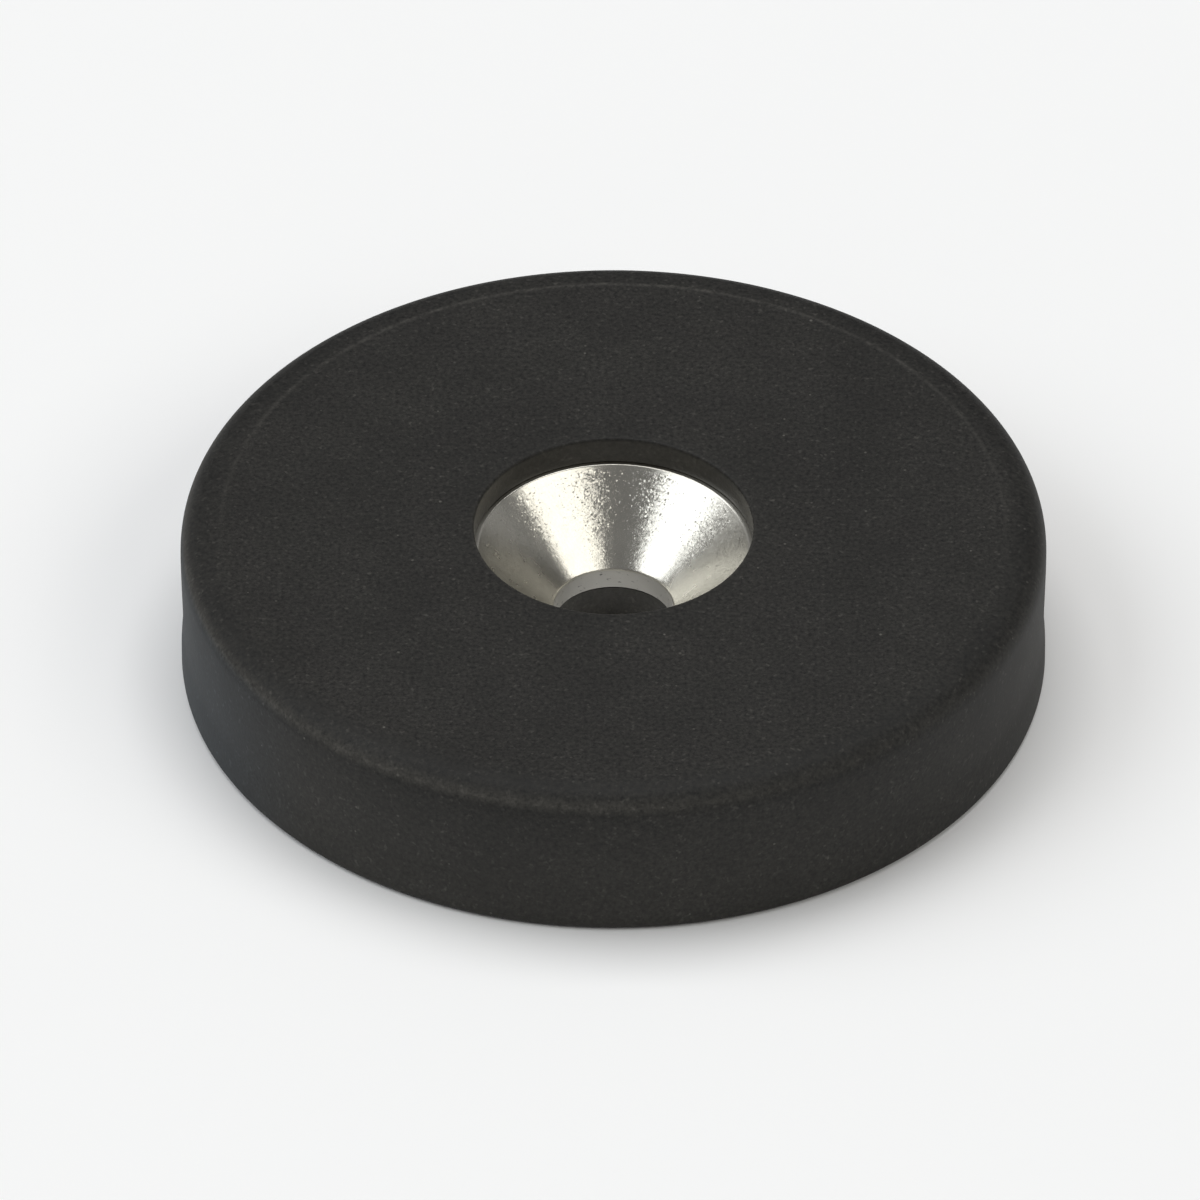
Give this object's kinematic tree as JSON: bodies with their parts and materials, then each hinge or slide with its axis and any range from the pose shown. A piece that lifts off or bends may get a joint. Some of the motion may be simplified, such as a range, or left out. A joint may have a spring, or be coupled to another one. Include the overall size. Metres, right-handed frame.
{
  "type": "rubber-coated countersunk disc magnet",
  "caption": "Flat round holding magnet: steel plate and disc magnets in a black rubber jacket, with a countersunk steel bush for a screw in its centre.",
  "frame": {"origin": "centre of the underside, on the axis of the screw hole", "axes": "+Z along the screw hole, out of the countersink and towards the holding face"},
  "size_m": [0.031, 0.031, 0.006],
  "materials": {
    "rubber": "matte",
    "bush_nickel": "satin",
    "plate_steel": "satin",
    "magnet_nickel": "polished"
  },
  "bodies": {
    "root": {"rubber_jacket": "rubber", "countersunk_bush": "bush_nickel", "back_plate": "plate_steel", "magnet_1": "magnet_nickel", "magnet_2": "magnet_nickel", "magnet_3": "magnet_nickel", "magnet_4": "magnet_nickel", "magnet_5": "magnet_nickel", "magnet_6": "magnet_nickel"}
  },
  "joints": []
}
